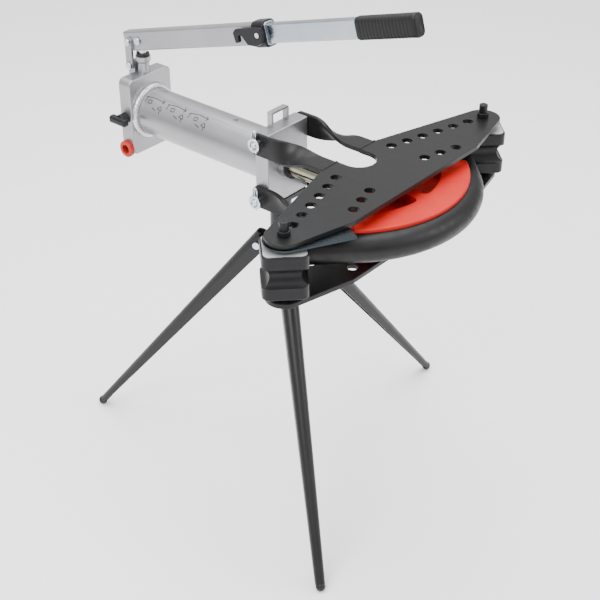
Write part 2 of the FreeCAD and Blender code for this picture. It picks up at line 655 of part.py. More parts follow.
# ---------------------------------------------------------------- ram, piston and former
keep(fuse(rod("ram_rad", "former_back_x - ram_back_x", "ram_back_x", "0", "0", "X"),
          rod("nose_rad", "nose_len", "former_back_x", "0", "0", "X"),
          rod("14", "piston_len - 6", "ram_back_x - piston_len + 6", "0", "0", "X")), "ram")
keep(cut(rod("barrel_bore - 0.05", "piston_len", "ram_back_x - piston_len", "0", "0", "X"),
         rod("14", "piston_len - 6", "ram_back_x - piston_len + 6", "0", "0", "X"),
         ring("barrel_bore", "barrel_bore - 4", "7", "ram_back_x - 20", "0", "0", "X")), "piston")
keep(ring("barrel_bore - 0.1", "barrel_bore - 4", "7", "ram_back_x - 20", "0", "0", "X"), "piston_seal")


def return_spring():
    """The spring between piston and gland, coiled round the ram; each coil is drawn as a closed ring."""
    coils = 12
    room = "(front_x + seat_depth - ram_back_x - 4)"
    rings = []
    for n in range(coils):
        coil = new("Part::Torus")
        bind(coil, Radius1="28.4", Radius2="1.6")
        rings.append(place(coil, "ram_back_x + 2 + %s * %d / %d" % (room, n, coils - 1), "0", "0", ALONG["X"]))
    return keep(group(*rings), "ram_return_spring")


return_spring()


def sector(radius, height, x, y, z, from_deg, to_deg):
    """A pie slice of a disc."""
    obj = new("Part::Cylinder")
    bind(obj, Radius=radius, Height=height, Angle="%s - (%s)" % (to_deg, from_deg))
    turn = FreeCAD.Rotation(V(0, 0, 1), angle_value(from_deg))
    return place(obj, x, y, z, turn)


def angle_value(text):
    """The start angle of a slice: a number, or the former's own half angle with a sign."""
    if text == "-former_half_deg":
        return -size("former_half_deg")
    return float(text)


def torus(big, small, x, y, z, from_deg="0", sweep="360"):
    obj = new("Part::Torus")
    bind(obj, Radius1=big, Radius2=small, Angle3=sweep)
    return place(obj, x, y, z, FreeCAD.Rotation(V(0, 0, 1), float(from_deg)))


def pocket_tool(from_deg, to_deg, z, depth):
    """One ring-sector recess of the former, with rounded corners."""
    tool = cut(sector("bend_rad - 60", depth, "bend_x", "0", z, from_deg, to_deg),
               rod("bend_rad - 148", depth, "bend_x", "0", z))
    return rounded(tool, 13.0, lambda edge: straight(edge, UP) and edge.Length < 60)


def bending_former():
    body = sector("bend_rad", "former_thk", "bend_x", "0", "-former_thk / 2", "-former_half_deg", "former_half_deg")
    behind = block("200", "400", "former_thk", "former_back_x - 200", "-200", "-former_thk / 2")
    rim = rounded(cut(body, behind), 3.0, lambda edge: circle_of(edge, size("bend_rad")))
    sides = rounded(rim, 12.0, lambda edge: straight(edge, UP) and edge.Length > 60)
    groove = torus("bend_rad", "tube_rad + tube_play", "bend_x", "0", "0")
    socket = rod("nose_rad", "nose_len", "former_back_x", "0", "0", "X")
    recesses = []
    for from_deg, to_deg in (("4", "41"), ("-41", "-4")):
        recesses.append(pocket_tool(from_deg, to_deg, "former_thk / 2 - 24", "30"))
        recesses.append(pocket_tool(from_deg, to_deg, "-former_thk / 2 - 6", "30"))
    lock_hole = rod("5", "former_thk / 2", "former_back_x + 18", "0", "0")
    relief = ring("bend_rad + 5", "bend_rad - 14", "9", "bend_x", "0", "-former_thk / 2 - 1")
    return keep(cut(sides, groove, socket, lock_hole, relief, *recesses), "bending_former")


bending_former()
ram_with_hole = cut(PARTS["ram"], rod("5", "40", "former_back_x + 18", "0", "0"))
keep(ram_with_hole, "ram")
keep(fuse(rod("5", "former_thk / 2", "former_back_x + 18", "0", "0"),
          rod("9", "5", "former_back_x + 18", "0", "former_thk / 2")), "former_lock_pin")


def tube_solid(radius):
    """The bent tube's outline at one radius: a quarter ring and two straight arms."""
    bend = torus("bend_rad", radius, "bend_x", "0", "0", "-45", "90")
    arms = []
    for side in (-1, 1):
        arm = new("Part::Cylinder")
        bind(arm, Radius=radius, Height="tube_arm")
        way = V(-math.sqrt(0.5), side * math.sqrt(0.5), 0)
        arms.append(place(arm, "bend_x + bend_rad * sqrt(0.5)", "%d * bend_rad * sqrt(0.5)" % side, "0",
                          FreeCAD.Rotation(V(0, 0, 1), way)))
    return fuse(bend, *arms)


keep(cut(tube_solid("tube_rad"), tube_solid("tube_rad - tube_wall")), "bent_tube")


# ---------------------------------------------------------------- corner supports, pins and angle arm
def pin_place(side):
    return "6 * hole_sweep", "%d * (hole_first_y + 6 * hole_pitch)" % side


def corner_support(label, side):
    """A square cast block with a groove of its own size on each side, turned to face the tube."""
    half, height = "support_half", "support_height"
    body = block("2 * " + half, "2 * " + half, height, "-" + half, "-" + half, "-%s / 2" % height, True)
    corners = rounded(body, size("support_round"), lambda edge: straight(edge, UP))
    rims = rounded(corners, 3.0, lambda edge: abs(edge.Vertexes[0].Point.z - edge.Vertexes[-1].Point.z) < 0.01)
    grooves = []
    for turn, radius in ((0, "tube_rad + support_gap"), (90, "24.4"), (180, "21.4"), (270, "17.2")):
        face = "(support_half - groove_depth + %s)" % radius
        length = "2 * support_half + 20"
        way = math.radians(turn)
        tool = new("Part::Cylinder")
        bind(tool, Radius=radius, Height=length)
        turn = FreeCAD.Rotation(V(0, 0, 1), V(-math.sin(way), math.cos(way), 0))
        tool.Placement = FreeCAD.Placement(V(0, 0, 0), turn)
        start = "(support_half + 10)"
        bind(tool, **{"Placement.Base.x": "%s * (%.4f) + %s * (%.4f)" % (face, math.cos(way), start, math.sin(way)),
                      "Placement.Base.y": "%s * (%.4f) - %s * (%.4f)" % (face, math.sin(way), start, math.cos(way))})
        grooves.append(tool)
    hubs = rod("hub_rad", "plate_gap - arm_thk - 0.8", "0", "0", "-plate_gap / 2 + 0.2", "Z", True)
    bore = rod("pin_shank_rad + 0.05", "plate_gap + 20", "0", "0", "-plate_gap / 2 - 10", "Z", True)
    solid = cut(fuse(cut(rims, *grooves), hubs), bore)
    x, y = pin_place(side)
    turn = FreeCAD.Rotation(V(0, 0, 1), -side * (180 - size("support_turn")))
    return keep(moved(solid, x, y, "0", turn), label)


for side_name, side in SIDES:
    corner_support("corner_support_" + side_name, side)
    x, y = pin_place(side)
    deck = "plate_gap / 2 + plate_thk"
    shank_len = "plate_gap + 2 * plate_thk + 8"
    shank = rod("pin_shank_rad", shank_len, x, y, "-plate_gap / 2 - plate_thk - 8")
    collar = rounded(rod("pin_collar_rad", "pin_collar_h", x, y, deck), 1.2,
                     lambda edge: circle_of(edge, size("pin_collar_rad")))
    neck = rounded(rod("pin_neck_rad", "pin_top", x, y, deck), 2.4,
                   lambda edge: circle_of(edge, size("pin_neck_rad")))
    keep(fuse(shank, collar, neck), "support_pin_" + side_name)
x, y = pin_place(1)
keep(ring("hub_rad", "pin_shank_rad + 0.05", "arm_thk - 0.2", x, y, "plate_gap / 2 - arm_thk"), "spacer_ring_right")


def angle_arm():
    """A flat graduated arm that swings on the left support pin, just under the upper plate."""
    disc = rod("arm_half", "arm_thk - 0.4", "0", "0", "0", "Z", True)
    bar = block("arm_reach", "arm_half + 8", "arm_thk - 0.4", "0", "-arm_half", "0", True)
    end = rounded(bar, 4.0, lambda edge: straight(edge, UP) and edge.Vertexes[0].Point.x > 50)
    hole = rod("pin_shank_rad + 0.05", "20", "0", "0", "-5", "Z", True)
    x, y = pin_place(-1)
    turn = FreeCAD.Rotation(V(0, 0, 1), size("arm_angle"))
    return keep(moved(cut(fuse(disc, end), hole), x, y, "plate_gap / 2 - arm_thk + 0.2", turn), "angle_arm")


angle_arm()

# ---------------------------------------------------------------- tripod
LEG_ANGLES = (("rear", 180.0), ("left", -60.0), ("right", 60.0))


def leg_way(angle):
    """The unit vector of a leg's direction in plan."""
    turn = math.radians(angle + size("hub_turn"))
    return V(math.cos(turn), math.sin(turn), 0)


def tripod_hub():
    """A bolted flange, a post and a spider with a forked lug for each leg."""
    top = "front_above - front_height"
    pivot_z = "leg_top_z - axis_z"
    flange = rounded(block("40", "120", "10", "hinge_pin_x - 20", "-60", top + " - 10"), 3.0,
                     lambda edge: straight(edge, UP))
    post_len = "(%s) - 10 - (%s) + 16" % (top, pivot_z)
    post = rod("hub_post_rad", post_len, "hub_x", "0", pivot_z + " - 16")
    pieces = [flange, post]
    tools = [rod("4.2", "30", x, y, top + " - 20") for x, y in HUB_BOLTS]
    for _, angle in LEG_ANGLES:
        way = leg_way(angle)
        turn = FreeCAD.Rotation(V(1, 0, 0), way)
        lug = block("leg_top_reach + 9", "20", "20", "0", "-10", "-10", True)
        lug_soft = rounded(lug, 8.5, lambda edge: straight(edge, ACROSS) and edge.Vertexes[0].Point.x > 20)
        pieces.append(moved(lug_soft, "hub_x", "0", pivot_z, turn))
        eye = rod("5.05", "60", "leg_top_reach", "-30", "0", "Y", True)
        tools.append(moved(group(eye), "hub_x", "0", pivot_z, turn))
    return keep(cut(fuse(*pieces), *tools), "tripod_hub")


tripod_hub()


def hub_bolts():
    top = "front_above - front_height"
    bolts = [fuse(rod("4", "26", x, y, top + " - 10"), rod("6.5", "6", x, y, top + " - 16")) for x, y in HUB_BOLTS]
    return keep(group(*bolts), "hub_bolts")


hub_bolts()


def leg_pivot_bolts():
    pivot_z = "leg_top_z - axis_z"
    bolts = []
    for _, angle in LEG_ANGLES:
        turn = FreeCAD.Rotation(V(1, 0, 0), leg_way(angle))
        shank = rod("5", "54", "leg_top_reach", "-27", "0", "Y", True)
        ends = [rod("8.5", "6", "leg_top_reach", y, "0", "Y", True) for y in ("-29", "23")]
        bolts.append(moved(fuse(shank, *ends), "hub_x", "0", pivot_z, turn))
    return keep(group(*bolts), "leg_pivot_bolts")


leg_pivot_bolts()


def channel_section(width, depth, wall, rounding):
    """A pressed channel's outline in the plane x = 0: a rounded back with two flanks, open below."""
    outer, inner = width / 2, width / 2 - wall
    arc_out = Part.Arc(V(0, outer, -rounding), V(0, 0, 0), V(0, -outer, -rounding)).toShape()
    spring_z = -rounding - wall * 0.2
    arc_in = Part.Arc(V(0, -inner, spring_z), V(0, 0, -wall), V(0, inner, spring_z)).toShape()
    lines = [Part.LineSegment(V(0, -outer, -rounding), V(0, -outer, -depth)).toShape(),
             Part.LineSegment(V(0, -outer, -depth), V(0, -inner, -depth)).toShape(),
             Part.LineSegment(V(0, -inner, -depth), V(0, -inner, spring_z)).toShape(),
             Part.LineSegment(V(0, inner, spring_z), V(0, inner, -depth)).toShape(),
             Part.LineSegment(V(0, inner, -depth), V(0, outer, -depth)).toShape(),
             Part.LineSegment(V(0, outer, -depth), V(0, outer, -rounding)).toShape()]
    return Part.Wire([arc_out, lines[0], lines[1], lines[2], arc_in, lines[3], lines[4], lines[5]])


def leg_frame(angle):
    """Placement that lays a leg built along +X, back upward, from its pivot down to its foot."""
    run = size("foot_reach") - size("leg_top_reach")
    drop = size("leg_top_z") - size("foot_rad")
    tilt = math.degrees(math.atan2(drop, run))
    hub = V(size("machine_x") + size("hub_x"), size("machine_y"), size("leg_top_z"))
    pivot = hub + leg_way(angle) * size("leg_top_reach")
    turn = FreeCAD.Rotation(V(0, 0, 1), angle + size("hub_turn")).multiply(FreeCAD.Rotation(V(0, 1, 0), tilt))
    return FreeCAD.Placement(pivot, turn), math.hypot(run, drop)


def tripod_leg(label, angle):
    placement, length = leg_frame(angle)
    top_w, foot_w, top_d, foot_d, wall = (size(a) for a in ("leg_width_top", "leg_width_foot", "leg_depth_top",
                                                            "leg_depth_foot", "leg_wall"))
    start, end, rise = -18.0, length - 4, 23.0

    def section(x, part):
        width = top_w + (foot_w - top_w) * part
        depth = top_d + (foot_d - top_d) * part
        wire = channel_section(width, depth, wall, min(width / 2 * 0.8, depth * 0.55))
        wire.translate(V(x, 0, rise + (foot_d / 2 + 1 - rise) * part))
        return wire

    shell = Part.makeLoft([section(start, 0), section(end, 1)], True, True)
    eye = Part.makeCylinder(5.05, 80, V(0, -40, 0), V(0, 1, 0))
    leg = shell.cut(eye)
    leg.Placement = placement
    obj = new("Part::Feature", "Leg")
    obj.Shape = leg
    return keep(obj, label)


def leg_foot(label, angle):
    """A turned steel peg with a domed end, welded into the leg's mouth."""
    placement, length = leg_frame(angle)
    radius = size("foot_rad")
    peg = Part.makeCylinder(radius - 5, 34, V(length - 34, 0, -3.2), V(1, 0, 0))
    dome = Part.makeSphere(radius, V(length, 0, 0))
    tail = Part.makeBox(radius + 4, 4 * radius, 4 * radius, V(length - 4, -2 * radius, -2 * radius))
    foot = peg.fuse(dome.common(tail)).removeSplitter()
    foot.Placement = placement
    obj = new("Part::Feature", "Foot")
    obj.Shape = foot
    return keep(obj, label)


for leg_name, angle in LEG_ANGLES:
    tripod_leg("tripod_leg_" + leg_name, angle)
    leg_foot("leg_foot_" + leg_name, angle)

# ---------------------------------------------------------------- checks and export
doc.recompute()
faults = [o.Name + " " + ",".join(o.State) for o in doc.Objects if "Invalid" in o.State or "Error" in o.State]
if faults:
    raise ValueError("failed objects: " + "; ".join(faults))
os.makedirs("parts", exist_ok=True)
for label, obj in PARTS.items():
    if obj.Shape.isNull() or not obj.Shape.isValid() or not obj.Shape.Solids:
        raise ValueError("bad shape: " + label)
whole = Part.makeCompound([obj.Shape for obj in PARTS.values()])
box = whole.optimalBoundingBox(True)
print("parts", len(PARTS), "box", [round(v, 2) for v in (box.XMin, box.YMin, box.ZMin, box.XMax, box.YMax, box.ZMax)])
for label, obj in PARTS.items():
    obj.Shape.exportStep("parts/%s.step" % label)
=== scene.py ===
"""Manual tube bender on a tripod: materials, moulded details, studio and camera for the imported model."""
import json
import math

import bmesh
import bpy
from mathutils import Matrix, Vector


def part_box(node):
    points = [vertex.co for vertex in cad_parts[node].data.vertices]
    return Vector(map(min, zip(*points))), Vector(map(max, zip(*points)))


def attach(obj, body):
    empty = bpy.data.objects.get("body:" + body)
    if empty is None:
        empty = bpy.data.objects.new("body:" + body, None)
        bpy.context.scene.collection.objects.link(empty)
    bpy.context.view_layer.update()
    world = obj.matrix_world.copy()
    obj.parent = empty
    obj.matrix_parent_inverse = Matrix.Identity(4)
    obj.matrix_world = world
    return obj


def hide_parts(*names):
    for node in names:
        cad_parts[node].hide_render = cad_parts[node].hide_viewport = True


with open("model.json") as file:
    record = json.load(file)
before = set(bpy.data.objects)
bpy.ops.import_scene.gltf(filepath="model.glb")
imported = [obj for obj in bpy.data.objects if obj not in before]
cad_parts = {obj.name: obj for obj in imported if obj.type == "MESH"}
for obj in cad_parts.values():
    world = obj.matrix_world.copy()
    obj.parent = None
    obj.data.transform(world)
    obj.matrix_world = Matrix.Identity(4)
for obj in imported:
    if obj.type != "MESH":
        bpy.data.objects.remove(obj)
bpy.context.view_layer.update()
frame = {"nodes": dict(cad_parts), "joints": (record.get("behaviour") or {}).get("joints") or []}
NODES = frame["nodes"]
JOINTS = {joint["name"]: joint for joint in frame["joints"]}
MM = 0.001

# ---------------------------------------------------------------- places worked out from the frame


def low(node):
    return Vector(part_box(node)[0])


def high(node):
    return Vector(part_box(node)[1])


def middle(node):
    return (low(node) + high(node)) / 2


RAM_AXIS = middle("cylinder_tube")
DECK_TOP = high("upper_wing_plate").z
LEVER_WAY = Vector(JOINTS["lever_extension"]["axis"]).normalized()
FULCRUM = Vector(JOINTS["lever_pivot"]["pos_m"])
SIDEWAYS = Vector((0, 1, 0))
LEVER_UP = LEVER_WAY.cross(SIDEWAYS)


def lever_frame():
    """A matrix whose X runs along the pump lever, with its origin at the fulcrum."""
    axes = Matrix((LEVER_WAY, SIDEWAYS, LEVER_UP)).transposed().to_4x4()
    return Matrix.Translation(FULCRUM) @ axes


def along_lever(point):
    return (Vector(point) - FULCRUM).dot(LEVER_WAY)


# ---------------------------------------------------------------- materials


class Paint:
    """A small node builder: every material starts as a Principled surface with textures in object space."""

    def __init__(self, name, color, roughness, metallic=0.0, specular=0.5):
        self.material = bpy.data.materials.new(name)
        self.material.use_nodes = True
        self.tree = self.material.node_tree
        self.shader = self.tree.nodes["Principled BSDF"]
        self.color, self.roughness = color, roughness
        self.shader.inputs["Base Color"].default_value = (*color, 1)
        self.shader.inputs["Roughness"].default_value = roughness
        self.shader.inputs["Metallic"].default_value = metallic
        self.shader.inputs["Specular IOR Level"].default_value = specular
        self.place = self.tree.nodes.new("ShaderNodeTexCoord").outputs["Object"]
        self.normal = None

    def node(self, kind):
        return self.tree.nodes.new(kind)

    def link(self, out, into):
        self.tree.links.new(out, into)

    def stretched(self, scale):
        mapping = self.node("ShaderNodeMapping")
        mapping.inputs["Scale"].default_value = scale
        self.link(self.place, mapping.inputs["Vector"])
        return mapping.outputs["Vector"]

    def noise(self, scale, detail=3.0, stretch=None):
        made = self.node("ShaderNodeTexNoise")
        made.inputs["Scale"].default_value = scale
        made.inputs["Detail"].default_value = detail
        self.link(self.stretched(stretch) if stretch else self.place, made.inputs["Vector"])
        return made.outputs["Fac"]

    def ramp(self, source, stops):
        made = self.node("ShaderNodeValToRGB")
        elements = made.color_ramp.elements
        while len(elements) < len(stops):
            elements.new(0.5)
        for element, (at, shade) in zip(elements, stops):
            element.position = at
            element.color = (*shade, 1) if isinstance(shade, tuple) else (shade, shade, shade, 1)
        self.link(source, made.inputs["Fac"])
        return made.outputs["Color"]

    def tone(self, scale, amount, stretch=None):
        """The base colour wanders lighter and darker by a fraction."""
        dark = tuple(c * (1 - amount) for c in self.color)
        light = tuple(min(1, c * (1 + amount)) for c in self.color)
        self.link(self.ramp(self.noise(scale, 4, stretch), [(0.3, dark), (0.7, light)]),
                  self.shader.inputs["Base Color"])
        return self

    def gloss(self, scale, spread, stretch=None):
        """The roughness wanders between two values."""
        stops = [(0.3, self.roughness - spread), (0.7, self.roughness + spread)]
        self.link(self.ramp(self.noise(scale, 4, stretch), stops), self.shader.inputs["Roughness"])
        return self

    def bump(self, scale, distance, strength=0.5, detail=2.0, stretch=None):
        made = self.node("ShaderNodeBump")
        made.inputs["Strength"].default_value = strength
        made.inputs["Distance"].default_value = distance
        self.link(self.noise(scale, detail, stretch), made.inputs["Height"])
        if self.normal:
            self.link(self.normal, made.inputs["Normal"])
        self.normal = made.outputs["Normal"]
        self.link(self.normal, self.shader.inputs["Normal"])
        return self


def powder(name, color, roughness, grain=900, depth=0.00012, metallic=0.0, specular=0.5):
    """Sprayed or powder coated metal: fine orange peel, faint mottling."""
    made = Paint(name, color, roughness, metallic, specular)
    return made.tone(6, 0.08).gloss(35, 0.05).bump(grain, depth, 0.35).material


def brushed(name, color, roughness, stretch=(1, 1, 40), metallic=1.0):
    """Bare or plated metal with fine drawn lines."""
    made = Paint(name, color, roughness, metallic)
    return made.tone(9, 0.10).gloss(60, 0.08, stretch).bump(160, 0.00006, 0.35, 3, stretch).material


def moulded(name, color, roughness, grain=1400, depth=0.0001):
    """Moulded plastic or rubber with a fine grain."""
    made = Paint(name, color, roughness, 0.0, 0.25)
    return made.tone(20, 0.10).gloss(80, 0.05).bump(grain, depth, 0.5).material


def cast(name, color, roughness):
    """Painted casting: soft lumps under a satin coat."""
    made = Paint(name, color, roughness, 0.0, 0.22)
    return made.tone(12, 0.12).gloss(50, 0.06).bump(110, 0.0005, 0.35, 4).bump(900, 0.0001, 0.3).material


def plated(name):
    """Bright zinc with its bluish bloom."""
    made = Paint(name, (0.52, 0.58, 0.64), 0.26, 1.0)
    bloom = made.ramp(made.noise(14, 4), [(0.25, (0.46, 0.53, 0.62)), (0.5, (0.60, 0.64, 0.68)),
                                          (0.75, (0.62, 0.62, 0.60))])
    made.link(bloom, made.shader.inputs["Base Color"])
    return made.gloss(50, 0.06).bump(300, 0.00005, 0.3).material


BLACK_PLATE = powder("powder_black", (0.008, 0.008, 0.0085), 0.36, specular=0.22)
SILVER = powder("silver_paint", (0.33, 0.33, 0.345), 0.33, 700, 0.0001, metallic=0.8)
RED = cast("former_red", (0.46, 0.011, 0.006), 0.48)
DARK_STEEL = brushed("tube_dark_satin", (0.031, 0.031, 0.031), 0.46, (1, 1, 1))
CAST_BLACK = cast("cast_black", (0.008, 0.008, 0.009), 0.36)
MACHINED = brushed("machined_face", (0.42, 0.42, 0.42), 0.45, (30, 1, 1), 0.3)
PIN_BLACK = powder("pin_black_oxide", (0.008, 0.008, 0.009), 0.30, 500, specular=0.25)
ARM_STEEL = brushed("arm_blued_zinc", (0.034, 0.044, 0.050), 0.30, (1, 30, 1))
ZINC = plated("zinc_plate")
BRIGHT_TUBE = brushed("bright_tube", (0.42, 0.47, 0.52), 0.24, (1, 30, 30))
GRIP = moulded("grip_rubber", (0.006, 0.006, 0.0065), 0.46)
BLACK_PLASTIC = moulded("collar_plastic", (0.008, 0.008, 0.010), 0.34)
RED_PLUG = moulded("plug_red", (0.42, 0.022, 0.014), 0.38)
# the plug's red darkened: painted shade for the bottom of the filler plug's recess
RED_PAINTED_SHADE = moulded("plug_recess_painted_shade", (0.16, 0.008, 0.006), 0.6)
RAM_BRONZE = brushed("ram_ground", (0.36, 0.34, 0.25), 0.20, (60, 1, 1))
GROUND = brushed("ground_steel", (0.60, 0.60, 0.62), 0.22, (1, 1, 40))
SEAL = moulded("seal_rubber", (0.012, 0.012, 0.013), 0.5)
BRASS = brushed("brass", (0.62, 0.46, 0.20), 0.28)
LEG_BLACK = powder("leg_black", (0.010, 0.010, 0.011), 0.34, specular=0.28)
# pale bead colour, brighter than the silver paint: the weld's metal with a painted highlight on it
WELD_PAINTED_HIGHLIGHT = brushed("weld_bead_painted_highlight", (0.62, 0.62, 0.63), 0.28, (1, 1, 1), 0.7)
INK = moulded("pictogram_ink", (0.030, 0.030, 0.034), 0.6)

DRESS = {
    BLACK_PLATE: ["upper_wing_plate", "lower_wing_plate", "upper_strap_left", "upper_strap_right",
                  "lower_strap_left", "lower_strap_right"],
    SILVER: ["pump_block", "cylinder_tube", "front_block", "front_weld", "rear_weld", "lifting_bracket",
             "pump_gland", "fulcrum_link_left", "fulcrum_link_right", "lever_outer_tube", "ram_gland_bush",
             "vent_screw"],
    RED: ["bending_former"],
    DARK_STEEL: ["bent_tube"],
    CAST_BLACK: ["corner_support_left", "corner_support_right"],
    PIN_BLACK: ["support_pin_left", "support_pin_right"],
    ARM_STEEL: ["angle_arm"],
    ZINC: ["upper_hinge_pin", "lower_hinge_pin", "hinge_pin_clips", "spacer_ring_right", "hub_bolts",
           "leg_pivot_bolts", "link_foot_pin", "fulcrum_pin", "plunger_pin", "release_spindle",
           "clamp_cam_pin", "former_lock_pin"],
    BRIGHT_TUBE: ["lever_inner_tube"],
    GRIP: ["hand_grip"],
    BLACK_PLASTIC: ["clamp_collar", "clamp_lever", "release_knob"],
    RED_PLUG: ["filler_plug"],
    RAM_BRONZE: ["ram"],
    GROUND: ["pump_plunger", "piston", "pressure_barrel", "ram_return_spring", "suction_valve_ball"],
    SEAL: ["ram_wiper_ring", "plunger_wiper", "piston_seal"],
    BRASS: ["release_gland"],
    LEG_BLACK: ["tripod_leg_rear", "tripod_leg_left", "tripod_leg_right", "leg_foot_rear", "leg_foot_left",
                "leg_foot_right", "tripod_hub"],
}


def paint(obj, *materials):
    """Give an object these materials, in place of any it has."""
    obj.data.materials.clear()
    for material in materials:
        obj.data.materials.append(material)


for material, names in DRESS.items():
    for name in names:
        paint(NODES[name], material)

# ---------------------------------------------------------------- mesh helpers


def add(name, mesh_maker, material, body, matrix=None, smooth=True):
    """A new piece from a bmesh, painted, placed and riding on a body."""
    mesh = bpy.data.meshes.new(name)
    shape = bmesh.new()
    mesh_maker(shape)
    bmesh.ops.recalc_face_normals(shape, faces=shape.faces)
    shape.to_mesh(mesh)
    shape.free()
    if matrix is not None:
        mesh.transform(matrix)
    obj = bpy.data.objects.new(name, mesh)
    bpy.context.scene.collection.objects.link(obj)
    mesh.materials.append(material)
    for face in mesh.polygons:
        face.use_smooth = smooth
    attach(obj, body)
    return obj


def loft(shape, rings, closed):
    """Faces between neighbouring rings of vertices, then end caps, or a last strip that closes the loop."""
    steps = len(rings[0])
    for one, two in list(zip(rings, rings[1:])) + ([(rings[-1], rings[0])] if closed else []):
        for n in range(steps):
            m = (n + 1) % steps
            shape.faces.new((one[n], one[m], two[m], two[n]))
    if not closed:
        shape.faces.new(rings[0])
        shape.faces.new(rings[-1][::-1])


def turned(outline, steps, closed=False):
    """A maker for a solid turned about X from (x, radius) points, or for a hollow ring when closed."""

    def make(shape):
        turns = [2 * math.pi * n / steps for n in range(steps)]
        rings = [[shape.verts.new((x, radius * math.cos(turn), radius * math.sin(turn))) for turn in turns]
                 for x, radius in outline]
        loft(shape, rings, closed)

    return make


def swept(points, radius_at, sides=10, closed=False):
    """A maker for a round wire along points, whose radius is a function of the point's number."""

    def make(shape):
        count = len(points)
        rings = []
        last_up = None
        for n, point in enumerate(points):
            before = points[(n - 1) % count] if closed or n else points[n]
            after = points[(n + 1) % count] if closed or n < count - 1 else points[n]
            way = (after - before).normalized()
            up = last_up if last_up else Vector((0, 0, 1)) if abs(way.z) < 0.9 else Vector((0, 1, 0))
            side = way.cross(up).normalized()
            last_up = side.cross(way).normalized()
            turns = [2 * math.pi * k / sides for k in range(sides)]
            spokes = [math.cos(turn) * side + math.sin(turn) * last_up for turn in turns]
            rings.append([shape.verts.new(point + radius_at(n) * spoke) for spoke in spokes])
        loft(shape, rings, closed)

    return make


# ---------------------------------------------------------------- pump lever's grip and collar


def sleeve(sections, closed):
    """A maker for a rounded-rectangle body along X, from (x, half_y, half_z, corner) sections."""

    def make(shape):
        rings = []
        for x, half_y, half_z, corner in sections:
            loop = []
            for y_sign, z_sign, turn in ((1, 1, 0), (-1, 1, 1), (-1, -1, 2), (1, -1, 3)):
                for k in range(13):
                    angle = math.pi / 2 * (turn + k / 12)
                    y = y_sign * (half_y - corner) + corner * math.cos(angle)
                    z = z_sign * (half_z - corner) + corner * math.sin(angle)
                    loop.append(shape.verts.new((x, y, z)))
            rings.append(loop)
        loft(shape, rings, closed)

    return make


def grip():
    """Moulded flat sleeve with shallow ribs, a rounded mouth and a rimmed end."""
    half_y, half_z, corner, half_len = 0.0145, 0.02325, 0.011, 0.0735
    centre = along_lever(middle("hand_grip"))
    start, end = centre - half_len, centre + half_len

    def section(x, inset):
        return x, half_y - inset, half_z - inset, corner - inset * 0.8

    sections = [section(start, 0.0028), section(start + 0.0008, 0.0010), section(start + 0.0028, 0.0)]
    first, last, steps = start + 0.010, end - 0.014, 132
    rib_pitch, rib_depth = 0.0082, 0.0005
    for n in range(steps + 1):
        x = first + (last - first) * n / steps
        wave = 0.5 - 0.5 * math.cos(2 * math.pi * (x - first) / rib_pitch)
        sections.append(section(x, rib_depth * wave ** 3))
    sections += [section(end - 0.010, 0.0), section(end - 0.003, 0.0), section(end - 0.0008, 0.0012),
                 section(end, 0.0034), section(end - 0.0003, 0.0046), section(end - 0.0012, 0.0052)]
    piece = add("grip_ribbed", sleeve(sections, False), GRIP, "lever_extension", lever_frame())
    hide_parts("hand_grip")


def collar_bush():
    """The pale slip ring in the clamp collar's mouth."""
    collar_half_length = 0.0165
    mouth = along_lever(middle("clamp_collar")) + collar_half_length
    inner, outer = (0.0106, 0.0206, 0.0032), (0.0146, 0.0246, 0.0070)
    sections = [(mouth - 0.002, *inner), (mouth + 0.0014, *inner), (mouth + 0.0022, 0.0110, 0.0210, 0.0036),
                (mouth + 0.0022, 0.0142, 0.0242, 0.0066), (mouth + 0.0014, *outer), (mouth - 0.002, *outer)]
    add("collar_slip_ring", sleeve(sections, True), BRIGHT_TUBE, "lever", lever_frame())


# ---------------------------------------------------------------- welds


def rippled(size, pitch):
    """The radius of a weld bead at each of its points: a regular ripple and an irregular one."""
    return lambda n: size * (1 + 0.025 * math.sin(2 * math.pi * n / pitch) + 0.015 * math.sin(n * 1.7))


def ring_weld(name, node, x, radius, size, material):
    """The run of weld round the tank where it meets an end block."""
    steps = 260
    points = [Vector((x, RAM_AXIS.y + radius * math.cos(2 * math.pi * n / steps),
                      RAM_AXIS.z + radius * math.sin(2 * math.pi * n / steps))) for n in range(steps)]
    piece = add(name, swept(points, rippled(size, 5), 10, True), material, "frame")
    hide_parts(node)


def strap_welds():
    """Painted welds across each strap's foot, on the plate's open face."""
    reach_inner, reach_outer, sunk = 0.0385, 0.088, 0.0006
    steps, waver = 60, 0.0004
    edge = low("upper_wing_plate").x
    for level, z in (("upper", DECK_TOP - sunk), ("lower", low("lower_wing_plate").z + sunk)):
        for side_name, side in (("left", -1), ("right", 1)):
            inner = middle("upper_wing_plate").y + side * reach_inner
            outer = middle("upper_wing_plate").y + side * reach_outer
            ys = [inner + (outer - inner) * n / steps for n in range(steps + 1)]
            points = [Vector((edge + waver * math.sin(n * 0.9), y, z)) for n, y in enumerate(ys)]
            name = "weld_%s_strap_%s" % (level, side_name)
            add(name, swept(points, rippled(0.0026, 6), 8), BLACK_PLATE, "frame")


# ---------------------------------------------------------------- marks on the tank


TANK_RADIUS = 0.055
INK_LIFT = 0.00015


def on_tank(x, angle):
    """A point just proud of the tank's skin: angle 0 on top, growing towards the side of the release knob."""
    radius = TANK_RADIUS + INK_LIFT
    return Vector((x, RAM_AXIS.y - radius * math.sin(angle), RAM_AXIS.z + radius * math.cos(angle)))


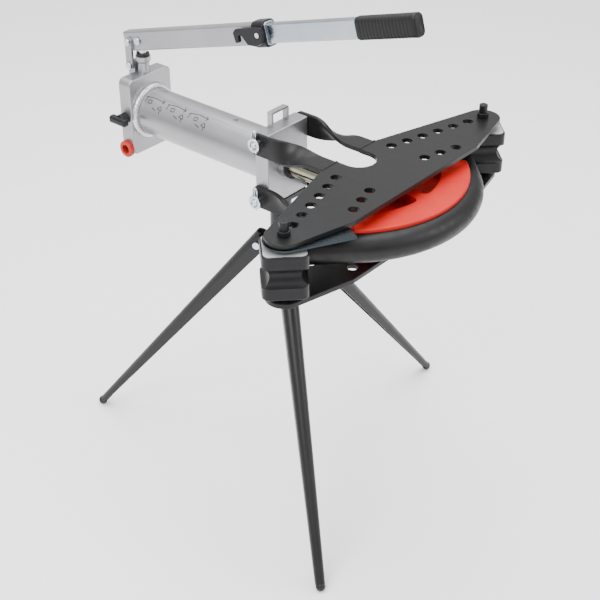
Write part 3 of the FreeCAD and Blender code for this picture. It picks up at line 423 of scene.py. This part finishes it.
def tank_strokes(name, strokes, width, origin_x, origin_angle):
    """Thin ink lines: each stroke is a run of (x, down) points in millimetres from the origin."""

    def dense_points(stroke):
        """The stroke with a point every 3 mm or so, to follow the tank's round."""
        dense = []
        for (x0, d0), (x1, d1) in zip(stroke, stroke[1:]):
            parts = max(1, int(math.hypot(x1 - x0, d1 - d0) / 3))
            dense += [(x0 + (x1 - x0) * k / parts, d0 + (d1 - d0) * k / parts) for k in range(parts)]
        return dense + [stroke[-1]]

    def make(shape):
        for stroke in strokes:
            dense = dense_points(stroke)
            left, right = [], []
            for n, (x, down) in enumerate(dense):
                ahead, behind = dense[min(n + 1, len(dense) - 1)], dense[max(n - 1, 0)]
                way = Vector((ahead[0] - behind[0], ahead[1] - behind[1])).normalized()
                for side, row in ((1, left), (-1, right)):
                    px, pd = x - side * way.y * width / 2, down + side * way.x * width / 2
                    angle = origin_angle + pd * MM / TANK_RADIUS
                    row.append(shape.verts.new(on_tank(origin_x + px * MM, angle)))
            for n in range(len(dense) - 1):
                shape.faces.new((left[n], left[n + 1], right[n + 1], right[n]))

    add(name, make, INK, "frame")


def pictogram(number):
    """A plain drawing of one working step, in millimetres: a lever, a post, a small block and an arrow."""
    lever = [(0, 3 + number), (28, 0), (56, 3)]
    tick = [(50, -3), (57, 3), (51, 8)]
    post = [(5, 3), (3, 17)]
    shift = 4 * number
    block = [(12 + shift, 9), (22 + shift, 8), (23 + shift, 16), (13 + shift, 17), (12 + shift, 9)]
    arrow = [(46, 22), (54, 14), (60, 25), (46, 22)]
    tail = [(30, 24), (44, 28)]
    foot = [(54, 25), (56, 33)]
    return [lever, tick, post, block, arrow, tail, foot]


def tank_label():
    """Three pictograms in a row, high on the tank's near side."""
    margin, pitch, line_width, turn_down = 0.016, 0.068, 1.9, math.radians(27)
    start = low("cylinder_tube").x + margin
    for number in range(3):
        place = start + number * pitch
        tank_strokes("pictogram_%d" % number, pictogram(number), line_width, place, turn_down)


# ---------------------------------------------------------------- wings, supports and pins


def rounded_square(half, corner, steps=8):
    """Corner points of a rounded square, anticlockwise."""
    points = []
    for quarter in range(4):
        turn = math.pi / 2 * quarter
        cx = (half - corner) * (1 if quarter in (0, 3) else -1)
        cy = (half - corner) * (1 if quarter in (0, 1) else -1)
        for k in range(steps + 1):
            angle = turn + math.pi / 2 * k / steps
            points.append((cx + corner * math.cos(angle), cy + corner * math.sin(angle)))
    return points


def machined_faces():
    """The skimmed top and bottom of each corner support, bright inside the painted edge."""
    half_height, lift = 0.047, 0.00025
    half_side, corner, hole_radius = 0.0415, 0.0125, 0.0243

    def make(shape):
        outline = rounded_square(half_side, corner)
        to_hole = [hole_radius / math.hypot(x, y) for x, y in outline]
        outer = [shape.verts.new((x, y, 0)) for x, y in outline]
        inner = [shape.verts.new((x * k, y * k, 0)) for (x, y), k in zip(outline, to_hole)]
        for n in range(len(outline)):
            m = (n + 1) % len(outline)
            shape.faces.new((outer[n], outer[m], inner[m], inner[n]))

    for side in ("left", "right"):
        body = "support_" + side
        axis = Vector(JOINTS["support_turn_" + side]["pos_m"])
        for end, way in (("top", 1), ("foot", -1)):
            place = Vector((axis.x, axis.y, RAM_AXIS.z + way * (half_height + lift)))
            matrix = Matrix.Translation(place) @ Matrix.Rotation(math.radians(45), 4, "Z")
            name = "machined_%s_%s" % (end, side)
            add(name, make, MACHINED, body, matrix, smooth=False)


def arm_scale():
    """Engraved degree ticks along the swinging arm's outer edge and three guide lines, in millimetres."""
    pivot = Vector(JOINTS["angle_arm_turn"]["pos_m"])
    top = high("angle_arm").z + 0.00012
    rest_angle = math.radians(62)
    edge, first, pitch, ticks = -40, 4, 4.8, 26
    long_tick, short_tick, tick_width, line_width = 9, 5, 0.7, 0.5
    guides = [(2, -29, 126, -29), (2, -12, 126, -4), (2, 3, 126, 3)]

    def make(shape):
        def bar(x0, y0, x1, y1, width):
            way = Vector((x1 - x0, y1 - y0)).normalized() * width / 2
            corners = [(x0 - way.y, y0 + way.x), (x1 - way.y, y1 + way.x),
                       (x1 + way.y, y1 - way.x), (x0 + way.y, y0 - way.x)]
            shape.faces.new([shape.verts.new((x * MM, y * MM, 0)) for x, y in corners])

        for n in range(ticks):
            reach = short_tick if n % 5 else long_tick
            bar(first + pitch * n, edge, first + pitch * n, edge + reach, tick_width)
        for guide in guides:
            bar(*guide, line_width)

    matrix = Matrix.Translation((pivot.x, pivot.y, top)) @ Matrix.Rotation(rest_angle, 4, "Z")
    add("arm_scale", make, INK, "angle_gauge", matrix, smooth=False)


# turns a piece made along +X to face -Y
FACING_OUT = Matrix.Rotation(math.radians(-90), 4, "Z")


def washers():
    """A bright washer behind each hinge pin's clip."""
    outline = [(0.0, 0.0085), (0.0, 0.0150), (0.0004, 0.0158),
               (0.0020, 0.0158), (0.0024, 0.0150), (0.0024, 0.0085)]
    for level in ("upper", "lower"):
        pin = middle(level + "_hinge_pin")
        matrix = Matrix.Translation((pin.x, low("upper_strap_left").y, pin.z)) @ FACING_OUT
        add("washer_" + level, turned(outline, 48, True), ZINC, "frame", matrix)


def plug_recess_painted_shade():
    """A dark red disc at the bottom of the filler plug's recess; its darker red is painted shade in the
    hollow.
    """
    plug = middle("filler_plug")
    recess_bottom = low("filler_plug").y + 0.0115
    outline = [(0.0, 0.0003), (0.0, 0.0106), (0.0006, 0.0109), (0.0012, 0.0109)]
    matrix = Matrix.Translation((plug.x, recess_bottom, plug.z)) @ FACING_OUT
    add("plug_recess_painted_shade", turned(outline, 40), RED_PAINTED_SHADE, "frame", matrix)


grip()
collar_bush()
# the rear bead's pale colour is a painted highlight; the front bead keeps the silver paint
ring_weld("weld_tank_rear", "rear_weld", low("cylinder_tube").x + 0.0046, 0.0586, 0.0068, WELD_PAINTED_HIGHLIGHT)
ring_weld("weld_tank_front", "front_weld", high("cylinder_tube").x - 0.0018, 0.0562, 0.0028, SILVER)
strap_welds()
tank_label()
machined_faces()
arm_scale()
washers()
# the dark disc in the plug's recess is painted shade
plug_recess_painted_shade()

# ---------------------------------------------------------------- camera, light and floor


def look(position, azimuth, elevation, lens):
    """A camera at a place, looking along an azimuth measured from +Y towards -X, downwards."""
    data = bpy.data.cameras.new("camera")
    data.lens = lens
    data.sensor_width = 36
    data.clip_end = 200
    camera = bpy.data.objects.new("camera", data)
    bpy.context.scene.collection.objects.link(camera)
    az, el = math.radians(azimuth), math.radians(elevation)
    way = Vector((-math.sin(az) * math.cos(el), math.cos(az) * math.cos(el), -math.sin(el)))
    camera.rotation_euler = way.to_track_quat("-Z", "Y").to_euler()
    camera.location = position
    bpy.context.scene.camera = camera


WING_FRONT = 0.138
DECK_CENTRE = Vector((high("upper_wing_plate").x - WING_FRONT, middle("upper_wing_plate").y, DECK_TOP))
look(DECK_CENTRE + Vector((1.4145, -1.8902, 1.2029)), 40.0, 33.2, 77.25)


LIGHT_TARGET = Vector((0, 0, 0.75))


def soft_light(name, location, size, power):
    data = bpy.data.lights.new(name, "AREA")
    data.shape = "RECTANGLE"
    data.size, data.size_y = size
    data.energy = power
    light = bpy.data.objects.new(name, data)
    light.location = location
    light.rotation_euler = (LIGHT_TARGET - Vector(location)).to_track_quat("-Z", "Y").to_euler()
    bpy.context.scene.collection.objects.link(light)


soft_light("key", (0.2, -2.6, 3.0), (2.4, 1.6), 110)
soft_light("top", (-0.4, 0.4, 3.6), (3.0, 3.0), 150)
soft_light("rim", (3.0, 1.4, 2.2), (2.0, 1.6), 55)


def studio_world():
    """A white tent: bright overhead, dimmer towards the horizon, so that upright faces keep some shade."""
    world = bpy.data.worlds.new("studio")
    world.use_nodes = True
    tree = world.node_tree
    split = tree.nodes.new("ShaderNodeSeparateXYZ")
    ramp = tree.nodes.new("ShaderNodeValToRGB")
    stops = ramp.color_ramp.elements
    stops[0].position, stops[0].color = 0.02, (0.30, 0.30, 0.31, 1)
    stops[1].position, stops[1].color = 0.75, (1, 1, 1, 1)
    tree.links.new(tree.nodes.new("ShaderNodeTexCoord").outputs["Generated"], split.inputs["Vector"])
    tree.links.new(split.outputs["Z"], ramp.inputs["Fac"])
    tree.links.new(ramp.outputs["Color"], tree.nodes["Background"].inputs["Color"])
    tree.nodes["Background"].inputs["Strength"].default_value = 1.7
    bpy.context.scene.world = world


studio_world()


def floor():
    mesh = bpy.data.meshes.new("floor")
    reach = 60
    corners = [(-reach, -reach, 0), (reach, -reach, 0), (reach, reach, 0), (-reach, reach, 0)]
    mesh.from_pydata(corners, [], [(0, 1, 2, 3)])
    obj = bpy.data.objects.new("floor", mesh)
    bpy.context.scene.collection.objects.link(obj)
    made = Paint("floor_white", (0.97, 0.97, 0.97), 0.8)
    mesh.materials.append(made.tone(0.4, 0.01).material)


floor()
